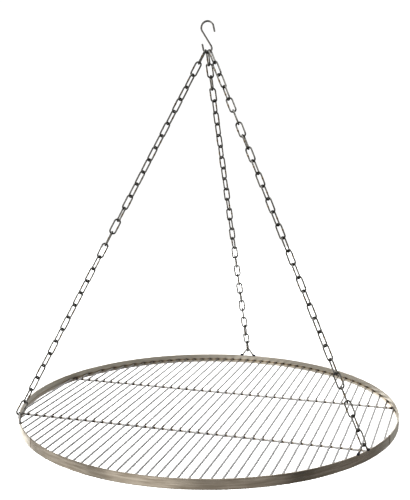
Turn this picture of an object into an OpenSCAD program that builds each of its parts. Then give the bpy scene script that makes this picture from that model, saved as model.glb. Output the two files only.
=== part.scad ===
// Campfire grate: a round grill hung on three long-link chains from one S-shaped hook.
// Millimetres, +Z up, +Y away from the cook. The origin is the point inside the hook's
// upper bend where the hook bears on whatever carries it, and the grill hangs below.

/* [Grill] */
// Outer diameter of the flat-bar rim
grill_d = 800; // [600:10:900]
// Height of the rim's flat bar
rim_h = 20; // [16:1:30]
// Thickness of the rim's flat bar
rim_t = 3; // [2:0.5:4]
// Direction of the weld where the rim's front bar starts
front_bar_from = 228.5; // [220:0.5:240]
// Direction of the weld where the rim's front bar ends
front_bar_to = 348; // [338:0.5:356]
// Diameter of the grill rods
rod_d = 4; // [3:0.5:5]
// Distance from one rod to the next
rod_pitch = 19; // [16:1:25]
// Height of the rods' axes above the rim's lower edge
rod_rise = 7.5; // [7:0.5:9]
// Diameter of the two cross bars under the rods
bar_d = 5; // [4:0.5:5]
// Distance of each cross bar from the middle of the grill
bar_offset = 132; // [100:1:160]

/* [Eyes] */
// Diameter of the bent wire of the three eyes
eye_wire = 4; // [3.5:0.5:5]
// Height of the top of an eye's wire axis above the rim
eye_rise = 16; // [14:0.5:20]
// Radius of the bend at the top of an eye
eye_bend_r = 6.5; // [6:0.5:7.5]
// Radius of the bend from an eye's leg into its foot
foot_bend_r = 5; // [3:0.5:6]
// Turn from the top of an eye to its straight leg
eye_turn = 55; // [50:1:65]
// Turn of the three eyes round the rim from the rods' own direction
eyes_turned = 2.5; // [0:0.5:10]

/* [Chains] */
// Number of links in each chain
links = 30; // [24:2:32]
// Inside length of a link
link_pitch = 27.9; // [26:0.1:30]
// Outside width of a link
link_w = 15.5; // [14.5:0.5:16.5]
// Diameter of the links' wire
link_wire = 3.5; // [3:0.25:3.75]
// Play left between one wire and the next
play = 0.3; // [0.25:0.05:0.5]
// How far round the hook's lower bend the two outer chains sit from the middle one
fan = 54; // [54:1:58]

/* [Hook] */
// Diameter of the hook's wire
hook_wire = 4; // [3.5:0.5:4]
// Radius of the upper bend's wire axis
upper_r = 13; // [12:0.5:15]
// Radius of the lower bend's wire axis
lower_r = 9; // [8.5:0.5:9.5]
// Distance between the centres of the two bends
bend_gap = 41; // [38:1:44]
// Length of the straight tip at each end
tip_len = 10; // [4:1:12]
// Angle of each tip away from plumb
tip_lean = 12; // [0:1:20]

/* [Hidden] */
$fn = 48;
overrun = 5;                                   // how far a cutting shape runs past what it cuts
weld_sink = 0.1;                               // how far the welded rods press into the cross bars
foot_flat = 0.4;                               // depth of the flat where an eye's foot meets the rim
foot_len = 2;                                  // straight end of an eye's foot
lap = 0.3;                                     // how far a straight runs into the bend beside it
lap_step = 0.04;                               // how much thinner it is, so no surfaces coincide

upper_z = -(upper_r - hook_wire / 2);          // centre of the upper bend
lower_z = upper_z - bend_gap;                  // centre of the lower bend
shank_lean = asin((upper_r + lower_r) / bend_gap);
shank_len = bend_gap * cos(shank_lean);

rim_r = grill_d / 2;
rim_in_r = rim_r - rim_t;
eye_r = rim_r - rim_t / 2;                     // the eyes stand on the middle of the flat bar
link_mid = link_pitch / 2 + link_wire / 2;     // link's centre to the top of its bend's axis
link_bend_r = (link_w - link_wire) / 2;
seat = hook_wire / 2 + link_wire / 2 + play;   // hook's wire axis to the axis of a link on it
eye_seat = eye_wire / 2 + link_wire / 2 + play;

// The middle chain hangs dead straight, so its length sets how low the grill hangs.
chain_len = links * link_pitch - (links + 1) * play - hook_wire / 2 - eye_wire / 2;
eye_z = lower_z - lower_r - sqrt(pow(chain_len, 2) - pow(eye_r, 2));
rim_top = eye_z - eye_rise;
rim_low = rim_top - rim_h;
rod_z = rim_low + rod_rise;
bar_z = rod_z - rod_d / 2 - bar_d / 2 + weld_sink;
rods_each_side = floor((rim_in_r - rod_d) / rod_pitch);

// Each chain: name, direction from the middle, place on the hook, extra half turns over its
// length, and the size and number of the lazy swings in its twist.
CHAINS = [
    ["left", 210 + eyes_turned, -fan, 1, 20, 4],
    ["right", 330 + eyes_turned, fan, 1, 36, 2],
    ["rear", 90 + eyes_turned, 0, 0, -8, 8]
];
pairs = links / 2;

function eye_name(c) = str("eye_", c[0]);
function pair_name(c, k) = str(c[0], "_links_", k < 10 ? "0" : "", k);

// Where a chain hangs on the hook's wire, which way the wire runs there, and where its eye is.
function hook_point(c) = [lower_r * sin(c[2]), 0, lower_z - lower_r * cos(c[2])];
function hook_wire_way(c) = [cos(c[2]), 0, sin(c[2])];
function eye_point(c) = [eye_r * cos(c[1]), eye_r * sin(c[1]), eye_z];

// The first link's top bend lies on the hook's wire, on the side that the chain pulls from.
function square_to(v, way) = v - (v * way) * way;
function unit(v) = v / norm(v);
function pull(c) = unit(square_to(hook_point(c) - eye_point(c), hook_wire_way(c)));
function first_top(c) = hook_point(c) + seat * pull(c);
function chain_way(c) = eye_point(c) - first_top(c);

// A chain's own axes: up along the chain, level across it, and the third one square to both.
function heading(c) = atan2(chain_way(c)[1], chain_way(c)[0]);
function lean(c) = atan2(norm([chain_way(c)[0], chain_way(c)[1]]), -chain_way(c)[2]);
function along(c) = -unit(chain_way(c));
function across(c) = [-sin(heading(c)), cos(heading(c)), 0];
function third(c) = cross(across(c), along(c));

// The first link sits square on the hook's wire, and the last one reaches under its eye.
function first_turn(c) = atan2(hook_wire_way(c) * third(c), hook_wire_way(c) * across(c));
function link_step(c) = (norm(chain_way(c)) + eye_seat - 2 * link_mid) / (links - 1);

// Links are a quarter turn apart. What is left over so that the last one meets its eye
// squarely is spread evenly along the chain, with the lazy swings on top of it.
function to_half_turn(a) = a - 180 * floor((a + 80) / 180);
function spread(c) = to_half_turn(-first_turn(c) - 90 * (links - 1)) + 180 * c[3];
function part_way(i) = (i - 1) / (links - 1);
function link_turn(c, i) = first_turn(c) + 90 * (i - 1) + spread(c) * part_way(i)
    + c[4] * sin(180 * c[5] * part_way(i));

// Wire bent in an arc in the XZ plane round the origin, from one angle to another.
module bent_wire(bend_r, wire, from, to) {
    rotate([90, 0, 0]) rotate([0, 0, from])
        rotate_extrude(angle = to - from) translate([bend_r, 0]) circle(d = wire);
}

// Straight wire in the XZ plane from a point, at an angle up from +X, lapping into its neighbours.
module straight_wire(start, len, wire, angle, end_lap = lap) {
    translate([start[0], 0, start[1]]) rotate([0, 90 - angle, 0]) translate([0, 0, -lap])
        cylinder(d = wire - lap_step, h = lap + len + end_lap);
}

// A point in the XZ plane at an angle round a bend's centre.
function on_bend(centre_z, r, angle) = [r * cos(angle), centre_z + r * sin(angle)];

module s_hook() {
    low_tip_at = 180 + tip_lean;
    shank_at = 180 + shank_lean;
    color("silver") union() {
        straight_wire(on_bend(upper_z, upper_r, tip_lean), tip_len, hook_wire, tip_lean - 90, 0);
        translate([0, 0, upper_z]) bent_wire(upper_r, hook_wire, tip_lean, shank_at);
        straight_wire(on_bend(upper_z, upper_r, shank_at), shank_len, hook_wire, shank_lean - 90);
        translate([0, 0, lower_z]) bent_wire(lower_r, hook_wire, low_tip_at - 360, shank_lean);
        straight_wire(on_bend(lower_z, lower_r, low_tip_at), tip_len, hook_wire, low_tip_at - 90, 0);
    }
}

// The rim is two lengths of flat bar on edge, butt-welded into a ring.
module rim_bar(from, to) {
    color("silver") rotate([0, 0, from]) rotate_extrude(angle = to - from)
        translate([rim_in_r, rim_low]) square([rim_t, rim_h]);
}

// Straight wires across the grill, trimmed where they are welded to the rim's inner face.
module trimmed_to_rim(z) {
    intersection() {
        children();
        translate([0, 0, z - rim_h]) cylinder(r = rim_in_r, h = 2 * rim_h);
    }
}

module grill_rods() {
    color("gainsboro") trimmed_to_rim(rod_z) {
        for (k = [-rods_each_side:rods_each_side])
            translate([k * rod_pitch, rim_r, rod_z]) rotate([90, 0, 0]) cylinder(d = rod_d, h = grill_d);
    }
}

module cross_bar(y) {
    color("gainsboro") trimmed_to_rim(bar_z) {
        translate([-rim_r, y, bar_z]) rotate([0, 90, 0]) cylinder(d = bar_d, h = grill_d);
    }
}

// One side of an eye in the XZ plane, from the top bend's end to the level foot.
module eye_side() {
    drop = eye_rise - (eye_wire / 2 - foot_flat);
    leg_len = (drop - (eye_bend_r + foot_bend_r) * (1 - cos(eye_turn))) / sin(eye_turn);
    foot_x = (eye_bend_r + foot_bend_r) * sin(eye_turn) + leg_len * cos(eye_turn);
    straight_wire(on_bend(-eye_bend_r, eye_bend_r, 90 - eye_turn), leg_len, eye_wire, -eye_turn);
    translate([foot_x, 0, foot_bend_r - drop])
        bent_wire(foot_bend_r, eye_wire, -90 - eye_turn, -90);
    straight_wire([foot_x, -drop], foot_len, eye_wire, 0, 0);
}

// An eye stands along the rim, with flats under its feet where it is welded to the rim.
module eye(c) {
    color("silver") rotate([0, 0, c[1] - 90]) difference() {
        translate([0, eye_r, eye_z]) union() {
            translate([0, 0, -eye_bend_r])
                bent_wire(eye_bend_r, eye_wire, 90 - eye_turn, 90 + eye_turn);
            eye_side();
            mirror([1, 0, 0]) eye_side();
        }
        translate([-rim_r, 0, rim_low]) cube([grill_d, rim_r + overrun, rim_h]);
    }
}

// One link, long way up, with its flat side facing Y.
module link() {
    straight = 2 * (link_mid - link_bend_r);
    translate([0, 0, straight / 2]) bent_wire(link_bend_r, link_wire, 0, 180);
    translate([0, 0, -straight / 2]) bent_wire(link_bend_r, link_wire, 180, 360);
    for (x = [-link_bend_r, link_bend_r])
        translate([x, 0, -straight / 2]) cylinder(d = link_wire, h = straight);
}

// Two neighbouring links of a chain, counted from the hook down.
module link_pair(c, k) {
    color("silver") for (i = [2 * k - 1, 2 * k])
        translate(first_top(c) - along(c) * (link_mid + (i - 1) * link_step(c)))
            rotate([0, 0, heading(c)]) rotate([0, -lean(c), 0]) rotate([0, 0, -link_turn(c, i)])
                link();
}

s_hook();
rim_bar(front_bar_from, front_bar_to);  // rim_front_bar
rim_bar(front_bar_to - 360, front_bar_from);  // rim_back_bar
grill_rods();
cross_bar(-bar_offset);  // cross_bar_front
cross_bar(bar_offset);  // cross_bar_rear
for (c = CHAINS)
    eye(c);
for (c = CHAINS) for (k = [1:pairs])
    link_pair(c, k);
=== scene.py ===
# %% [markdown]
# # A grill hung on three chains over a campfire
#
# The real object is bent and welded from a few kinds of stainless stock: a flat bar rolled on
# edge into a ring, drawn wire for the grill rods, two thicker cross bars, and small wire for
# the chain links, the eyes and the S-shaped hook. Nearly every piece is a round wire that
# follows some line, so one tool that carries a round section along a line makes almost all of
# it, in the same way that the maker bends the wire.
#
# A measured model of the object comes in first, as a frame. It says where each piece is and
# which moving body carries it. We read sizes and places from it, and then build a finer
# piece over each of its plain ones.

# %% Load the measured frame
import math

import bmesh
import bpy
import numpy as np
from mathutils import Matrix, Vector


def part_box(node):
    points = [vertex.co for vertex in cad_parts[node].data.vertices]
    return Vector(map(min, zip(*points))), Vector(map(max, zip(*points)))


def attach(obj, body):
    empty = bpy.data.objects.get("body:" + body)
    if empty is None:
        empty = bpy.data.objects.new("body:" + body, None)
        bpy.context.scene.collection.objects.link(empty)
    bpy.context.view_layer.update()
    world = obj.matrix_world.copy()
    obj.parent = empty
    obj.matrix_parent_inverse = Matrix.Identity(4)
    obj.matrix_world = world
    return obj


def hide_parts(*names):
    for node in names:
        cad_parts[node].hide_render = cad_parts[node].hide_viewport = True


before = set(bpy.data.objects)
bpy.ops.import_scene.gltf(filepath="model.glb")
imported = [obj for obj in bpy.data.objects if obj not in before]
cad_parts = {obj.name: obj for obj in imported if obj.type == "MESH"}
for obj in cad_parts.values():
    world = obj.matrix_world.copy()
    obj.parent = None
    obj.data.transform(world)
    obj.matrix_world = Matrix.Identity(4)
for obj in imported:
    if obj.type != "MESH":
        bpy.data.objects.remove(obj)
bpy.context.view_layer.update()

# %% [markdown]
# ## Measuring what the frame holds
#
# The grill rods are one node of many separate rods, and each chain node holds two links. To
# build over them we need each solid by itself. Blender can split a mesh by its loose parts
# with an operator, but that makes objects that we would have to clean up again. Walking from
# corner to corner along the edges gives the same groups, and leaves the frame as it was. An
# imported mesh has its corners doubled where its shading breaks, so they are joined first.

# %% Split a node into its loose solids
SAME_POINT = 1e-6


def loose_solids(node):
    """Each separate solid of a node: its corners, and how much surface each corner stands for."""
    mesh = bmesh.new()
    mesh.from_mesh(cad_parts[node].data)
    bmesh.ops.remove_doubles(mesh, verts=mesh.verts, dist=SAME_POINT)
    solids = []
    for first in mesh.verts:
        if first.tag:
            continue
        first.tag = True
        reached = [first]
        for corner in reached:
            for edge in corner.link_edges:
                other = edge.other_vert(corner)
                if not other.tag:
                    other.tag = True
                    reached.append(other)
        points = np.array([corner.co for corner in reached])
        share = np.array([sum(face.calc_area() for face in corner.link_faces) for corner in reached])
        solids.append((points, share / share.sum()))
    mesh.free()
    return solids


rods = loose_solids("grill_rods")
print("rods in the grill:", len(rods))

# %% [markdown]
# ## How a chain link lies
#
# A link is long one way, narrower the second way and thinnest the third way. Those three ways
# are the directions in which its surface is spread most, less and least, and the eigenvectors
# of its covariance give them without our knowing how the link was turned. Corners are weighted
# by their surface, because a tight bend has many more corners than a straight leg.

# %% Measure one solid's middle and its three ways
def lie_of(solid):
    """Middle of a solid, then its long, wide and flat ways, and its size along each of them."""
    points, share = solid
    middle = share @ points
    spread = (points - middle).T @ ((points - middle) * share[:, None])
    flat_way, wide_way, long_way = np.linalg.eigh(spread)[1].T
    if long_way[2] < 0:
        long_way = -long_way
    ways = np.array([long_way, wide_way, flat_way])
    return middle, ways, np.ptp(points @ ways.T, axis=0)


CHAINS = ("left", "right", "rear")
pair_nodes = [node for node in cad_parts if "_links_" in node]
link_length, link_width, link_wire = lie_of(loose_solids(pair_nodes[0])[0])[2]
print("a link in mm:", *(round(1000 * size, 2) for size in (link_length, link_width, link_wire)))

# %% [markdown]
# ## A shape that grows
#
# A bent wire could be a curve object with a round bevel. It would look right, but we couldn't
# let a weld swell it, mark where heat has coloured it, or run its surface grain round a closed
# link without a jump. So we collect plain lists of corners and faces ourselves. Next to each
# corner go two marks that the finishes read later. The first is for the colours round a weld,
# and on the rim it also holds a painted line of shade. The second is for places where other
# metal touches, which are made rougher and darkened with painted shade.

# %% Start an empty shape, and add a grid of corners to it
def empty_shape():
    return {"corners": [], "faces": [], "unrolled": [], "heat": [], "rub_and_shade": []}


def add_grid(shape, rings, along, around, heat, rub_and_shade, closed):
    """Joins rings of corners into a skin. along and around are lengths for the surface grain, and a
    mark is one value, a column with one for each ring, or a value for every corner."""
    count, sides = rings.shape[:2]
    start = len(shape["corners"])
    shape["corners"] += rings.reshape(-1, 3).tolist()
    for mark, value in (("heat", heat), ("rub_and_shade", rub_and_shade)):
        shape[mark] += np.broadcast_to(value, (count, sides)).ravel().tolist()
    for i in range(count if closed else count - 1):
        here, there = start + i * sides, start + (i + 1) % count * sides
        for j in range(sides):
            k = (j + 1) % sides
            shape["faces"].append((here + j, there + j, there + k, here + k))
            shape["unrolled"] += [
                (along[i], around[j]), (along[i + 1], around[j]),
                (along[i + 1], around[j + 1]), (along[i], around[j + 1]),
            ]
    if not closed:
        for ring, order in ((0, range(sides)), (count - 1, range(sides - 1, -1, -1))):
            shape["faces"].append(tuple(start + ring * sides + j for j in order))
            shape["unrolled"] += [(along[ring], around[j]) for j in order]


# %% [markdown]
# ## Carrying a round section along a wire's line
#
# Every wire here is bent in one flat plane. That makes the sweep simple: at each point of the
# line, one way across the wire is square to that plane, and the other is square to the line
# and lies in the plane. A circle drawn on those two ways can never twist, however far the wire
# bends. Where an end is free, a few smaller rings beyond it round it off like a filed end.

# %% Sweep a wire
ROUND_END = np.radians([25, 50, 72])


def lengths_of(path, closed):
    """Distance along the line at each point, with the closing step added on a closed line."""
    steps = np.diff(np.vstack([path, path[:1]]) if closed else path, axis=0)
    return np.append(0, np.cumsum(np.linalg.norm(steps, axis=1)))


def wire_rings(path, flat_way, radius, sides, closed):
    before, after = np.roll(path, 1, axis=0), np.roll(path, -1, axis=0)
    if not closed:
        before[0], after[-1] = path[0], path[-1]
    ahead = (after - before) / np.linalg.norm(after - before, axis=1)[:, None]
    across = np.cross(ahead, flat_way)
    turn = np.linspace(0, 2 * math.pi, sides, endpoint=False)[None, :, None]
    circle = np.cos(turn) * across[:, None] + np.sin(turn) * np.asarray(flat_way)
    return path[:, None] + radius[:, None, None] * circle


def add_wire(shape, path, flat_way, radius, sides, heat=0.0, rub_and_shade=0.0, closed=False):
    """Adds one wire. radius and the two marks may be single values or one for each point."""
    path = np.asarray(path, float)
    radius, heat, rub_and_shade = (np.broadcast_to(v, len(path)).astype(float) for v in (radius, heat, rub_and_shade))
    if not closed:
        first, last = path[0] - path[1], path[-1] - path[-2]
        first, last = first / np.linalg.norm(first), last / np.linalg.norm(last)
        beyond = np.sin(ROUND_END)[:, None]
        path = np.vstack([path[0] + first * radius[0] * beyond[::-1], path,
                          path[-1] + last * radius[-1] * beyond])
        smaller = np.cos(ROUND_END)
        radius = np.concatenate([radius[0] * smaller[::-1], radius, radius[-1] * smaller])
        ends = len(ROUND_END)
        heat, rub_and_shade = np.pad(heat, ends, mode="edge"), np.pad(rub_and_shade, ends, mode="edge")
    rings = wire_rings(path, flat_way, radius, sides, closed)
    around = np.linspace(0, 2 * math.pi * radius.max(), sides + 1)
    add_grid(shape, rings, lengths_of(path, closed), around, heat[:, None], rub_and_shade[:, None], closed)


# %% [markdown]
# ## From a shape to a piece of the object
#
# A mesh is only corners and faces until it is given to an object. Here each piece also gets its
# finish, the two marks as attributes that a material can read, and the unrolled lengths as a UV
# map. Then it is parented to an empty named for the body of the frame that it rides on, and the
# plain nodes that it stands for are hidden.

# %% Turn a shape into a finished piece
pieces_made = []


def bell(distance, spread):
    """1 at no distance, falling smoothly to nothing beyond twice the spread."""
    return np.exp(-((distance / spread) ** 2))


def make_piece(name, shape, finish, body, slot, *stands_for):
    mesh = bpy.data.meshes.new(name)
    mesh.from_pydata(shape["corners"], [], shape["faces"])
    mesh.polygons.foreach_set("use_smooth", [True] * len(mesh.polygons))
    for mark in ("heat", "rub_and_shade"):
        mesh.attributes.new(mark + "_mark", "FLOAT", "POINT").data.foreach_set("value", shape[mark])
    unrolled = mesh.uv_layers.new(name="unrolled")
    unrolled.data.foreach_set("uv", [v for pair in shape["unrolled"] for v in pair])
    mesh.materials.append(finish)
    mesh.update()
    piece = bpy.data.objects.new(name, mesh)
    bpy.context.scene.collection.objects.link(piece)
    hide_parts(*stands_for)
    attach(piece, body)
    pieces_made.append(name)


# %% [markdown]
# ## Building a finish out of nodes
#
# The nodes of a material are wired up one at a time, and written out in full that takes pages.
# A short helper makes a node, sets its options and fills its sockets, either with a value or
# with the output of another node, so that each finish below reads as a recipe.

# %% Make one shader node
def add_node(tree, kind, sockets=None, **options):
    made = tree.nodes.new("ShaderNode" + kind)
    for option, value in options.items():
        setattr(made, option, value)
    for socket, value in (sockets or {}).items():
        if isinstance(value, bpy.types.NodeSocket):
            tree.links.new(value, made.inputs[socket])
        else:
            made.inputs[socket].default_value = value
    return made


def maths(tree, operation, *values):
    return add_node(tree, "Math", dict(enumerate(values)), operation=operation).outputs[0]


MIX_FIRST, MIX_SECOND, MIX_RESULT = 6, 7, 2


def mix_colours(tree, share, first, second):
    mixed = add_node(tree, "Mix", {0: share, MIX_FIRST: first, MIX_SECOND: second}, data_type="RGBA")
    return mixed.outputs[MIX_RESULT]


def speckle(tree, place, size, detail=3.0):
    """Noise from 0 to 1 whose lumps are about that size in metres."""
    return add_node(tree, "TexNoise", {"Vector": place, "Scale": 1 / size, "Detail": detail}).outputs[0]


# %% [markdown]
# ## Stainless steel, as it comes from the mill
#
# Bare metal has almost no colour of its own: what we see is the room in it, tinted a little.
# What makes it look real is how unevenly it mirrors. Drawn wire and rolled bar carry fine
# scratches that run the way the stock was pulled, so the grain here is noise stretched along
# the unrolled length. A second, broader noise makes streaks that are duller and warmer. Near a
# weld the steel has run through straw, brown and blue-grey, which a colour ramp gives from the
# heat-and-shade mark, and the scale there is rougher and slightly lumpy. On the rim the same
# ramp also colours a painted line of shade. Where pieces touch they are rougher, and painted
# shade darkens their colour towards near-black.

# %% Write the recipe for steel
# Weld heat colours. Their darkest end also gives the painted shade of the rim's line at the rods'
# height.
HEAT_AND_SHADE_COLOURS = [
    (0.0, (0.62, 0.60, 0.57, 1)), (0.25, (0.55, 0.43, 0.26, 1)), (0.5, (0.22, 0.14, 0.10, 1)),
    (0.72, (0.09, 0.095, 0.12, 1)), (1.0, (0.035, 0.032, 0.03, 1)),
]
# Near-black painted shade, laid on the places where parts touch.
CONTACT_SHADE = (0.035, 0.033, 0.03, 1)


def steel(name, bright, dull, roughness, grain_size, streak_size):
    """Metal in two tones. Both sizes are a length and a width in metres, along the stock and across."""
    finish = bpy.data.materials.new(name)
    finish.use_nodes = True
    tree = finish.node_tree
    metal = tree.nodes["Principled BSDF"]
    metal.inputs["Metallic"].default_value = 1.0
    coords = add_node(tree, "TexCoord")
    layers = []
    for (long_size, wide_size), detail in ((grain_size, 2.0), (streak_size, 4.0)):
        stretched = add_node(tree, "Mapping", {
            "Vector": coords.outputs["UV"], "Scale": (1 / long_size, 1 / wide_size, 1)})
        layers.append(speckle(tree, stretched.outputs[0], 1.0, detail))
    grain, streak = layers
    streak = add_node(tree, "MapRange", {0: streak, 1: 0.35, 2: 0.65}).outputs[0]
    heat, rub_and_shade = (add_node(tree, "Attribute", attribute_name=mark).outputs["Fac"]
                 for mark in ("heat_mark", "rub_and_shade_mark"))

    uneven = maths(tree, "MULTIPLY_ADD", maths(tree, "SUBTRACT", streak, 0.5), 0.25, heat)
    ramp = add_node(tree, "ValToRGB", {0: uneven})
    while len(ramp.color_ramp.elements) < len(HEAT_AND_SHADE_COLOURS):
        ramp.color_ramp.elements.new(0.5)
    for stop, (place, colour) in zip(ramp.color_ramp.elements, HEAT_AND_SHADE_COLOURS):
        stop.position, stop.color = place, colour
    bare = mix_colours(tree, streak, (*dull, 1), (*bright, 1))
    # Painted shade: the colour is pulled towards near-black where the rub-and-shade mark says that parts
    # touch.
    contact_shaded = mix_colours(tree, maths(tree, "MULTIPLY", rub_and_shade, 0.85), bare, CONTACT_SHADE)
    coloured = add_node(tree, "MapRange", {0: heat, 1: 0.02, 2: 0.25}).outputs[0]
    tree.links.new(mix_colours(tree, coloured, contact_shaded, ramp.outputs[0]), metal.inputs["Base Color"])

    rough = maths(tree, "MULTIPLY_ADD", maths(tree, "SUBTRACT", grain, 0.5), 0.18, roughness)
    rough = maths(tree, "MULTIPLY_ADD", maths(tree, "SUBTRACT", 0.5, streak), 0.10, rough)
    rough = maths(tree, "MULTIPLY_ADD", maths(tree, "MAXIMUM", heat, rub_and_shade), 0.25, rough)
    tree.links.new(rough, metal.inputs["Roughness"])

    lumps = maths(tree, "MULTIPLY", speckle(tree, coords.outputs["Object"], 0.0006), heat)
    height = maths(tree, "MULTIPLY_ADD", lumps, 3.0, grain)
    bump = add_node(tree, "Bump", {"Height": height, "Distance": 0.00003, "Strength": 0.6})
    tree.links.new(bump.outputs[0], metal.inputs["Normal"])
    return finish


WIRE_GRAIN = (0.012, 0.00025)
hook_finish = steel("polished_hook_steel", (0.70, 0.69, 0.67), (0.44, 0.43, 0.41), 0.12,
                    WIRE_GRAIN, (0.010, 0.002))
chain_finish = steel("tumbled_chain_steel", (0.74, 0.73, 0.69), (0.47, 0.46, 0.42), 0.15,
                     WIRE_GRAIN, (0.008, 0.002))
rod_finish = steel("drawn_rod_steel", (0.70, 0.70, 0.70), (0.54, 0.53, 0.52), 0.28,
                   (0.025, 0.0002), (0.05, 0.002))
cross_bar_finish = steel("drawn_cross_bar_steel", (0.90, 0.90, 0.89), (0.74, 0.73, 0.71), 0.34,
                         (0.025, 0.0002), (0.05, 0.002))
eye_finish = steel("bent_eye_steel", (0.70, 0.69, 0.67), (0.50, 0.48, 0.45), 0.18,
                   WIRE_GRAIN, (0.008, 0.002))
print("finishes:", len(bpy.data.materials))

# %% [markdown]
# ## The S-shaped hook
#
# The hook is one piece of wire: a large bend that hangs over the tripod's ring, a straight
# shank that leans across, and a small bend the other way for the chains. Only the two bend
# radii and the tips are ours to choose. The wire's thickness and the heights of both bends come
# from the frame's box, and the shank's lean follows, because a straight line has to touch both
# bends. The inside of each bend, where metal bears on metal, is made rougher and is darkened
# with painted shade.

# %% Draw the hook's line and sweep it
UPPER_BEND, LOWER_BEND = 0.013, 0.009
TIP_LENGTH, TIP_LEAN = 0.010, 12
BEND_STEP = 5
HOOK_SIDES = 24
RUB_AND_SHADE_HEIGHT = 0.004

hook_low, hook_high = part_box("s_hook")
hook_wire = hook_high.y - hook_low.y
upper_z = hook_high.z - hook_wire / 2 - UPPER_BEND
lower_z = hook_low.z + hook_wire / 2 + LOWER_BEND
shank_lean = math.degrees(math.asin((UPPER_BEND + LOWER_BEND) / (upper_z - lower_z)))


def bend(middle, radius, first, last):
    """Points on an arc in the XZ plane, in degrees from +X towards +Z."""
    count = 1 + math.ceil(abs(last - first) / BEND_STEP)
    turn = np.radians(np.linspace(first, last, count))
    return np.c_[middle[0] + radius * np.cos(turn), np.zeros(count), middle[1] + radius * np.sin(turn)]


def onward(path, angle, length):
    """The path with a straight stretch after it, in steps."""
    way = np.array([math.cos(math.radians(angle)), 0, math.sin(math.radians(angle))])
    return np.vstack([path, path[-1] + way * np.linspace(0, length, 8)[1:, None]])


upper = bend((0, upper_z), UPPER_BEND, TIP_LEAN, 180 + shank_lean)
lower = bend((0, lower_z), LOWER_BEND, shank_lean, TIP_LEAN - 180)
upper = onward(upper[::-1], TIP_LEAN - 90, TIP_LENGTH)[::-1]
lower = onward(lower, TIP_LEAN + 90, TIP_LENGTH)
shank = upper[-1] + np.linspace(0, 1, 9)[1:-1, None] * (lower[0] - upper[-1])
hook_line = np.vstack([upper, shank, lower])
bears = np.minimum(np.abs(hook_line[:, 2] - upper_z - UPPER_BEND),
                   np.abs(hook_line[:, 2] - lower_z + LOWER_BEND))
hook = empty_shape()
# Painted shade: the band where the ring and the chains bear is darkened, as well as made rougher.
rub_and_shade_band = np.clip(1 - bears / RUB_AND_SHADE_HEIGHT, 0, 1)
add_wire(hook, hook_line, (0, 1, 0), hook_wire / 2, HOOK_SIDES, rub_and_shade=rub_and_shade_band)
make_piece("s_hook_wire", hook, hook_finish, "hook", "hook_steel", "s_hook")
print("hook wire in mm:", round(1000 * hook_wire, 2), "shank lean:", round(shank_lean, 1))

# %% [markdown]
# ## Ninety links
#
# A link is cut from wire, bent round two pins and butt-welded in the middle of one leg. The
# weld leaves a small collar and a short stretch of heat colours. We draw one link's line, in
# its own long and wide ways, and lay it where the frame says each link is. All three chains are
# the same stock, so the shape is the same, but every weld came out a little different, and a
# random number with a fixed seed gives that in the same way every time.

# %% Draw one link, and lay it over every link in the frame
LINK_SIDES = 16
WELD_SPREAD = 0.0016
weld_luck = np.random.default_rng(7)


def link_line(bend_steps=14, leg_steps=12):
    """A link's line as distances along its long and wide ways, starting in the middle of a leg."""
    bend_radius = (link_width - link_wire) / 2
    leg = link_length / 2 - link_wire / 2 - bend_radius
    turn = np.linspace(0, math.pi, bend_steps, endpoint=False)
    evenly = np.linspace(0, 1, leg_steps, endpoint=False)
    halves = [
        (leg * evenly**1.5, np.full(leg_steps, bend_radius)),
        (leg + bend_radius * np.sin(turn), bend_radius * np.cos(turn)),
        (leg - 2 * leg * np.linspace(0, 1, 8, endpoint=False), np.full(8, -bend_radius)),
        (-leg - bend_radius * np.sin(turn), -bend_radius * np.cos(turn)),
        (-leg * (1 - evenly) ** 1.5, np.full(leg_steps, bend_radius)),
    ]
    return np.concatenate([np.c_[long_part, wide_part] for long_part, wide_part in halves])


one_link = link_line()
from_weld = np.where(one_link[:, 1] > 0, np.abs(one_link[:, 0]), 1.0)
# The bends at a link's ends, where links hang in each other, are made rougher and darkened with painted
# shade.
at_ends = np.clip((np.abs(one_link[:, 0]) - link_length / 2 + 2.5 * link_wire) / (1.2 * link_wire), 0, 1)


def add_link(shape, solid):
    middle, (long_way, wide_way, flat_way), _ = lie_of(solid)
    side = weld_luck.choice([-1, 1])
    flat_way = np.cross(long_way, side * wide_way)
    path = middle + one_link[:, :1] * long_way + one_link[:, 1:] * side * wide_way
    collar = weld_luck.uniform(0.0001, 0.0003) * bell(from_weld, WELD_SPREAD)
    burn = weld_luck.uniform(0.15, 0.55) * bell(from_weld, weld_luck.uniform(0.002, 0.004))
    add_wire(shape, path, flat_way, link_wire / 2 + collar, LINK_SIDES, burn, at_ends, closed=True)


for node in pair_nodes:
    pair = empty_shape()
    for solid in loose_solids(node):
        add_link(pair, solid)
    make_piece(node + "_wire", pair, chain_finish, node, "chain_steel", node)
print("chain pieces:", len(pair_nodes), "rings in a link:", len(one_link))

# %% [markdown]
# ## The rim, two flat bars rolled into a ring
#
# Rolled on edge, the bar keeps the soft corners that it had from the mill, and the rolls leave
# it very slightly wavy. This rim is two lengths of bar, butt-welded and ground, and they came
# from different coils: the short front one is duller and more tan. The ring could be a lathed
# section, but a lathe gives a perfect circle with even steps. Our own rings let the radius
# waver by tenths of a millimetre and put extra rings where a weld needs them.

# %% Measure the rim and draw the bar's section
CORNER = 0.0007
FACE_ROWS = 21
RIM_BARS = ("rim_front_bar", "rim_back_bar")

rim_points = {node: loose_solids(node)[0][0] for node in RIM_BARS}
radii = np.concatenate([np.hypot(points[:, 0], points[:, 1]) for points in rim_points.values()])
inner_radius, outer_radius = radii.min(), radii.max()
rim_low, rim_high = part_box("rim_back_bar")[0].z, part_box("rim_back_bar")[1].z
thickness, rim_middle_z = outer_radius - inner_radius, (rim_low + rim_high) / 2


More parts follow.
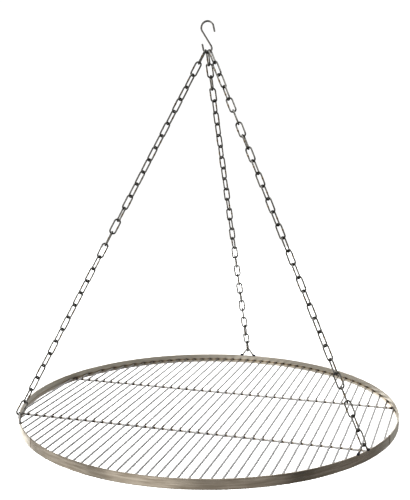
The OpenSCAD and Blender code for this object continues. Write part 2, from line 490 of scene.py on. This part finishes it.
def bar_section():
    """The bar's outline: distances out from its middle and up from its middle."""
    half_wide, half_high = thickness / 2 - CORNER, (rim_high - rim_low) / 2 - CORNER
    corners = []
    for corner, (out, up) in enumerate(((1, 1), (-1, 1), (-1, -1), (1, -1))):
        turn = np.radians(90 * corner + np.linspace(0, 90, 5))
        corners.append(np.c_[out * half_wide + CORNER * np.cos(turn),
                             up * half_high + CORNER * np.sin(turn)])
    rows = np.linspace(half_high, -half_high, FACE_ROWS + 2)[1:-1]
    inner_face = np.c_[np.full(FACE_ROWS, -thickness / 2), rows]
    return np.concatenate([*corners[:2], inner_face, *corners[2:]])


def ends_of(points):
    """Directions in degrees where a bar starts and ends, going round from +X towards +Y."""
    around = np.sort(np.degrees(np.arctan2(points[:, 1], points[:, 0])) % 360)
    gaps = np.diff(np.append(around, around[0] + 360))
    after = gaps.argmax()
    return around[(after + 1) % len(around)], around[after] + (360 if after < len(around) - 1 else 0)


section = bar_section()[::-1]
print("rim in mm:", round(2000 * outer_radius, 1), "thick", round(1000 * thickness, 2))

# %% [markdown]
# The marks on the rim are of two kinds: a narrow heat stripe at each butt weld, all round the
# section, and a broken line along the inner face at the height of the rods, darkest round each
# rod, which is painted shade and a painted reflection of the rods. Both are a smooth bell over
# distance.

# %% Roll the two bars
RIM_STEP = 0.5
ROD_SHADE_HEIGHT, ROD_SHADE_WIDTH = 0.0020, 0.0045
SEAM_SWELL, SEAM_BURN = 0.0016, 0.0022
WELD_STEPS = np.array([0, 0.06, 0.12, 0.2, 0.3, 0.45, 0.7])
BAR_GRAIN, BAR_STREAK = (0.040, 0.00035), (0.045, 0.004)
front_bar = steel("front_bar_steel", (0.64, 0.575, 0.485), (0.44, 0.38, 0.30), 0.30,
                  BAR_GRAIN, BAR_STREAK)
back_bar = steel("back_bar_steel", (0.93, 0.875, 0.76), (0.74, 0.68, 0.57), 0.40,
                 BAR_GRAIN, BAR_STREAK)

rods_z = (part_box("grill_rods")[0].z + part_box("grill_rods")[1].z) / 2
rods_x = np.array([share @ points[:, 0] for points, share in rods])
# A painted line of shade and reflection of the rods along the inner face, at the rods' height.
rod_shade_band = 0.95 * bell(rim_middle_z + section[:, 1] - rods_z, ROD_SHADE_HEIGHT) * (section[:, 0] < 0)
section_steps = np.linalg.norm(np.diff(np.vstack([section, section[:1]]), axis=0), axis=1)
for node, finish in zip(RIM_BARS, (front_bar, back_bar)):
    first, last = ends_of(rim_points[node])
    inside = np.arange(first + 1, last - 1, RIM_STEP)
    degrees = np.concatenate([first + WELD_STEPS, inside, last - WELD_STEPS[::-1]])
    turn = np.radians(degrees)
    off_weld = np.radians(np.minimum(degrees - first, last - degrees)) * outer_radius
    waver = 0.00022 * np.sin(3 * turn + 0.7) * np.sin(17 * turn) + 0.00008 * np.sin(61 * turn)
    swell = 1 + 0.12 * bell(off_weld, SEAM_SWELL)
    out = (outer_radius - thickness / 2 + waver)[:, None] + section[:, 0] * swell[:, None]
    off_rod = np.abs(inner_radius * np.cos(turn)[:, None] - rods_x).min(axis=1)
    # The painted rod line is darkest round each rod and a quarter as strong between them.
    rod_shade = (0.25 + 0.75 * bell(off_rod, ROD_SHADE_WIDTH))[:, None] * rod_shade_band
    rings = np.stack([out * np.cos(turn)[:, None], out * np.sin(turn)[:, None],
                      np.broadcast_to(rim_middle_z + section[:, 1], out.shape)], axis=2)
    bar = empty_shape()
    # The heat-and-shade mark holds the real heat stripe at each weld and the painted rod line.
    add_grid(bar, rings, turn * outer_radius, np.append(0, np.cumsum(section_steps)),
             np.maximum(0.62 * bell(off_weld, SEAM_BURN)[:, None], rod_shade), 0.0, closed=False)
    make_piece(node + "_rolled", bar, finish, "grate", "rim_steel", node)
    print(node, "from", round(first, 1), "to", round(last, 1), "degrees")

# %% [markdown]
# ## Rods and cross bars, welded to the rim
#
# Each rod runs from one side of the rim to the other, over both cross bars. Near the middle it
# meets the rim squarely, but the outermost rods meet it at a slant, so a rod with a square end
# would leave a gap or poke through. The corners near an end are therefore moved along the rod
# until they lie on the rim's inner face, with less and less of that move away from the end.
# Each end swells into its weld, and each crossing has been squeezed and fused, which shows as a
# small heat mark. A rod that was pulled a little by its welds isn't dead straight.

# %% Lay one straight bar between the rim's inner faces
ROD_SIDES = 12
SLANT_REACH = 0.012
INTO_RIM = 0.0003
FAR = 1.0
bar_luck = np.random.default_rng(23)


def reach(points, way):
    """How far points are from the rim's inner face, going one way on the level."""
    ahead = points[..., :2] @ way[:2]
    aside = (points[..., :2] ** 2).sum(axis=-1) - ahead**2
    return np.sqrt(np.maximum(inner_radius**2 - aside, 0)) - ahead


def add_bar(shape, middle, way, wire, crossings, sides=ROD_SIDES):
    """A bar through a point, one way along X or Y, that reaches the rim's inner face at both ends."""
    half = reach(middle, way) + INTO_RIM
    near_end = half - np.array([0, 0.0006, 0.0013, 0.0022, 0.0035, 0.006, 0.010])
    near_crossing = np.array([-0.006, -0.003, -0.0015, 0, 0.0015, 0.003, 0.006])
    places = np.concatenate([-near_end, near_end, *(c + near_crossing for c in crossings),
                             np.linspace(-0.8, 0.8, 9) * half])
    places = np.unique(np.round(places[np.abs(places) <= half + 1e-9], 5))
    bow = bar_luck.uniform(-0.0003, 0.0003)
    side_way = np.array([way[1], -way[0], 0.0])
    path = middle + places[:, None] * way + bow * np.cos(places / half * math.pi / 2)[:, None] * side_way
    to_end = half - np.abs(places)
    to_crossing = np.min([np.full(len(places), FAR), *(np.abs(places - c) for c in crossings)], axis=0)
    radius = wire / 2 + bar_luck.uniform(0.0006, 0.0010) * bell(to_end, 0.0016)
    radius += 0.00012 * bell(to_crossing, 0.002)
    burnt = np.maximum(bell(to_end, bar_luck.uniform(0.003, 0.005)), 1.3 * bell(to_crossing, 0.0024))
    heat = 0.95 * np.minimum(burnt, 1)
    rings = wire_rings(path, (0, 0, 1), radius, sides, closed=False)
    for toward in (-1, 1):
        slant = reach(rings, toward * way) - reach(path, toward * way)[:, None]
        ending = np.clip(1 - (half - toward * places) / SLANT_REACH, 0, 1)
        rings = rings + toward * way * (slant * ending[:, None])[..., None]
    around = np.linspace(0, math.pi * wire, sides + 1)
    add_grid(shape, rings, lengths_of(path, False), around, heat[:, None], 0.0, closed=False)


# %% [markdown]
# The rods go in as one piece, since they are one node of the frame. Their places and their
# thickness are read from the loose rods that were found above, and the crossings are where the
# two cross bars run underneath.

# %% Lay the rods and the two cross bars
BAR_NODES = ("cross_bar_front", "cross_bar_rear")
along_y, along_x = np.array([0.0, 1.0, 0.0]), np.array([1.0, 0.0, 0.0])


def middle_of(node):
    low, high = (np.array(corner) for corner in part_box(node))
    return (low + high) / 2, high - low


rod_middles = sorted((tuple(share @ points) for points, share in rods), key=lambda middle: middle[0])
rod_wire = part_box("grill_rods")[1].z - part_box("grill_rods")[0].z
bar_rows = [middle_of(node)[0][1] for node in BAR_NODES]
grill = empty_shape()
for x, _, z in rod_middles:
    middle = np.array([x, 0.0, z])
    half = reach(middle, along_y)
    add_bar(grill, middle, along_y, rod_wire, [y for y in bar_rows if abs(y) < half])
make_piece("grill_rod_wires", grill, rod_finish, "grate", "rod_steel", "grill_rods")

for node in BAR_NODES:
    (_, y, z), (_, _, bar_wire) = middle_of(node)
    bar = empty_shape()
    crossed = [x for x, _, _ in rod_middles if abs(x) < reach(np.array([0, y, z]), along_x)]
    add_bar(bar, np.array([0.0, y, z]), along_x, bar_wire, crossed, sides=16)
    make_piece(node + "_wire", bar, cross_bar_finish, "grate", "rod_steel", node)
print("rods:", len(rod_middles), "of mm:", round(1000 * rod_wire, 2), "cross bars at:", bar_rows)

# %% [markdown]
# ## Three eyes for the chains
#
# An eye is a short wire bent like a low tent: a tight bend on top that the last link hangs on,
# two sloping legs and two feet that lie on the rim's edge. We draw it in the plane that stands
# along the rim and turn it to its place. The frame's box gives its direction from the middle
# and its height. The feet are fused to the rim with a short rippled bead on each, where the
# torch was moved on step by step.

# %% Bend the eyes and weld on their feet
EYE_WIRE, EYE_BEND, FOOT_BEND = 0.004, 0.0065, 0.005
EYE_TURN, FOOT_LENGTH = 55, 0.002
FOOT_SUNK = 0.0004
BEAD_LENGTH, BEAD_RINGS, RIPPLE = 0.0075, 34, 0.0009
PAST_FOOT, BEAD_LIFT = 0.0015, 0.0004


def eye_side(rise):
    """One side of an eye, from its top bend to its foot, with the top of the line at the origin."""
    lost = (EYE_BEND + FOOT_BEND) * (1 - math.cos(math.radians(EYE_TURN)))
    leg = (rise - lost) / math.sin(math.radians(EYE_TURN))
    path = onward(bend((0, -EYE_BEND), EYE_BEND, 90, 90 - EYE_TURN), -EYE_TURN, leg)
    foot_x = path[-1][0] + FOOT_BEND * math.sin(math.radians(EYE_TURN))
    foot = bend((foot_x, FOOT_BEND - rise), FOOT_BEND, -90 - EYE_TURN, -90)
    return onward(np.vstack([path, foot[1:]]), 0, FOOT_LENGTH)


def turned(points, direction, out, up):
    """Points of the XZ plane, stood along the rim at a direction, a distance out and a height."""
    cos, sin = math.cos(direction), math.sin(direction)
    lie = np.array([[sin, -cos, 0], [cos, sin, 0], [0, 0, 1]])
    return points @ lie + np.array([out * cos, out * sin, up])


for chain in CHAINS:
    node = "eye_" + chain
    eye_low, eye_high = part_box(node)
    centre = middle_of(node)[0]
    direction, out = math.atan2(centre[1], centre[0]), math.hypot(centre[0], centre[1])
    top = eye_high.z - EYE_WIRE / 2
    rise = top - eye_low.z - EYE_WIRE / 2 + FOOT_SUNK
    half_eye = eye_side(rise)
    eye_line = np.vstack([half_eye[:0:-1] * [-1, 1, 1], half_eye])
    radial = np.array([math.cos(direction), math.sin(direction), 0])
    eye = empty_shape()
    above_foot = eye_line[:, 2] + rise
    # The top bend, where the last link hangs, is made rougher and darkened with painted shade.
    add_wire(eye, turned(eye_line, direction, out, top), radial, EYE_WIRE / 2, HOOK_SIDES,
             heat=0.8 * bell(above_foot, 0.003), rub_and_shade=bell(eye_line[:, 0], 0.004))
    for foot in (-1, 1):
        steps = np.linspace(0, BEAD_LENGTH, BEAD_RINGS)
        bead_line = np.c_[foot * (half_eye[-1, 0] + PAST_FOOT - steps),
                          np.zeros(BEAD_RINGS), np.full(BEAD_RINGS, BEAD_LIFT - rise)]
        ripples = np.abs(np.sin(math.pi * steps / RIPPLE)) * 0.00022
        ends = np.sqrt(np.clip(1 - (2 * steps / BEAD_LENGTH - 1) ** 4, 0.12, 1))
        add_wire(eye, turned(bead_line, direction, out, top - EYE_WIRE / 2), radial,
                 (0.0020 + ripples) * ends, 16, heat=0.85)
    make_piece(node + "_wire", eye, eye_finish, "grate", "eye_steel", node)
    print(node, "at", round(math.degrees(direction), 1), "degrees, leg to top mm", round(1000 * rise, 1))

# %% [markdown]
# ## A white room for bare metal
#
# Polished steel shows its surroundings, so the surroundings are half of the finish. The floor
# and the backdrop that the camera sees are plain and pale. What the metal mirrors is set apart
# from them: a world of a few broad soft areas, like the cards and cloths that are hung round a
# shiny object in a studio. The backdrop and the floor are hidden from reflections, so that
# only those areas show in the steel.

# %% Hang the soft areas round the object
def toward(azimuth, elevation):
    """Unit way from the object: azimuth 0 is +X and 90 is +Y."""
    a, e = math.radians(azimuth), math.radians(elevation)
    return math.cos(a) * math.cos(e), math.sin(a) * math.cos(e), math.sin(e)


ROOM_GREY = (0.030, 0.030, 0.029)
SOFT_AREAS = [  # where each is, the angle that it fills, the angle where it has faded, its light
    (toward(270, 80), 25, 50, (1.40, 1.39, 1.37)),
    (toward(100, 22), 18, 42, (0.84, 0.84, 0.84)),
    (toward(100, -20), 8, 25, (0.45, 0.45, 0.45)),
    (toward(138, -15), 12, 22, (2.20, 2.17, 2.12)),
    (toward(190, -22), 14, 30, (0.75, 0.73, 0.70)),
    (toward(250, -22), 16, 32, (0.95, 0.92, 0.88)),
    (toward(305, -25), 14, 30, (0.42, 0.40, 0.38)),
    (toward(15, -22), 18, 34, (0.22, 0.21, 0.20)),
    (toward(62, -18), 8, 20, (0.38, 0.38, 0.38)),
    (toward(287, 8), 5, 14, (0.90, 0.90, 0.89)),
    (toward(185, 18), 7, 18, (1.60, 1.60, 1.58)),
    (toward(15, 22), 7, 16, (1.20, 1.20, 1.20)),
]

world = bpy.data.worlds.new("soft_room")
bpy.context.scene.world = world
world.use_nodes = True
sky = world.node_tree
way_out = add_node(sky, "TexCoord").outputs["Generated"]
light = (*ROOM_GREY, 1)
for way, full, gone, colour in SOFT_AREAS:
    facing = add_node(sky, "VectorMath", {0: way_out, 1: way}, operation="DOT_PRODUCT").outputs["Value"]
    share = add_node(sky, "MapRange", {
        0: facing, 1: math.cos(math.radians(gone)), 2: math.cos(math.radians(full))},
        interpolation_type="SMOOTHSTEP").outputs[0]
    light = mix_colours(sky, share, light, (*colour, 1))
sky.links.new(light, sky.nodes["Background"].inputs["Color"])
print("soft areas:", len(SOFT_AREAS))

# %% [markdown]
# ## Floor, backdrop and lamps
#
# The floor is a wide matt disc far below the hanging grill, low enough that a camera can look up
# from under the rods. The backdrop is a shell around everything that gives plain white, and a
# very wide, soft light from straight above lights the floor. Floor and backdrop are stage, not
# part of the object.

# %% Build the stage
FLOOR_DROP, STAGE_RADIUS = 2.2, 18.0
floor_z = rim_low - FLOOR_DROP


def stage_mesh(name, build, finish):
    mesh = bmesh.new()
    build(mesh)
    data = bpy.data.meshes.new(name)
    mesh.to_mesh(data)
    mesh.free()
    data.materials.append(finish)
    thing = bpy.data.objects.new(name, data)
    bpy.context.scene.collection.objects.link(thing)
    thing.visible_glossy = False
    return thing


floor_finish = bpy.data.materials.new("pale_floor")
floor_finish.use_nodes = True
matt = floor_finish.node_tree.nodes["Principled BSDF"]
matt.inputs["Base Color"].default_value = (0.9, 0.9, 0.9, 1)
matt.inputs["Roughness"].default_value = 0.9
backdrop_finish = bpy.data.materials.new("white_backdrop")
backdrop_finish.use_nodes = True
backdrop_tree = backdrop_finish.node_tree
backdrop_glow = add_node(backdrop_tree, "Emission", {"Color": (1, 1, 1, 1), "Strength": 1.05})
backdrop_out = backdrop_tree.nodes["Material Output"]
backdrop_tree.links.new(backdrop_glow.outputs[0], backdrop_out.inputs["Surface"])

stage_mesh("floor", lambda mesh: bmesh.ops.create_circle(
    mesh, cap_ends=True, segments=96, radius=STAGE_RADIUS, matrix=Matrix.Translation((0, 0, floor_z))),
    floor_finish)
backdrop = stage_mesh("backdrop", lambda mesh: bmesh.ops.create_icosphere(
    mesh, subdivisions=4, radius=STAGE_RADIUS), backdrop_finish)
backdrop.visible_diffuse = backdrop.visible_shadow = False

sun = bpy.data.lights.new("sky_light", "SUN")
sun.energy, sun.angle = 5.5, math.radians(60)
sun_holder = bpy.data.objects.new("sky_light", sun)
sun_holder.visible_glossy = False
bpy.context.scene.collection.objects.link(sun_holder)
print("floor at", round(floor_z, 3))

# %% [markdown]
# ## The camera
#
# The camera stands in front of the grill, a little to the right and about as high as the
# middle of the chains, with a longer lens that keeps the circle of the rim from stretching. It
# is placed from the middle of the rods, and turned with three plain rotations: round the
# upright axis to face the grill, down a little, and a touch of roll.

# %% Place the camera
CAMERA_FROM_RODS = (0.5384, -1.7276, 0.6164)
FACING, TILT, ROLL = 107.52, -8.5, -0.22
LENS, SENSOR = 62.92, 36.0

camera_data = bpy.data.cameras.new("camera")
camera_data.lens, camera_data.sensor_width = LENS, SENSOR
camera_data.clip_end = 3 * STAGE_RADIUS
camera = bpy.data.objects.new("camera", camera_data)
place = Matrix.Translation(np.array(CAMERA_FROM_RODS) + np.array([0, 0, rods_z]))
camera.matrix_world = (place @ Matrix.Rotation(math.radians(FACING - 90), 4, "Z")
                       @ Matrix.Rotation(math.radians(90 + TILT), 4, "X")
                       @ Matrix.Rotation(math.radians(ROLL), 4, "Z"))
bpy.context.scene.collection.objects.link(camera)
bpy.context.scene.camera = camera
bpy.context.scene.view_settings.view_transform = "Standard"
print("camera at", [round(v, 4) for v in camera.matrix_world.translation])

# %% [markdown]
# ## Counting the pieces
#
# The finished pieces have to stay the size of the frame. The last line prints how many pieces
# were made.

# %% Count the pieces and finish
print("pieces:", len(pieces_made))
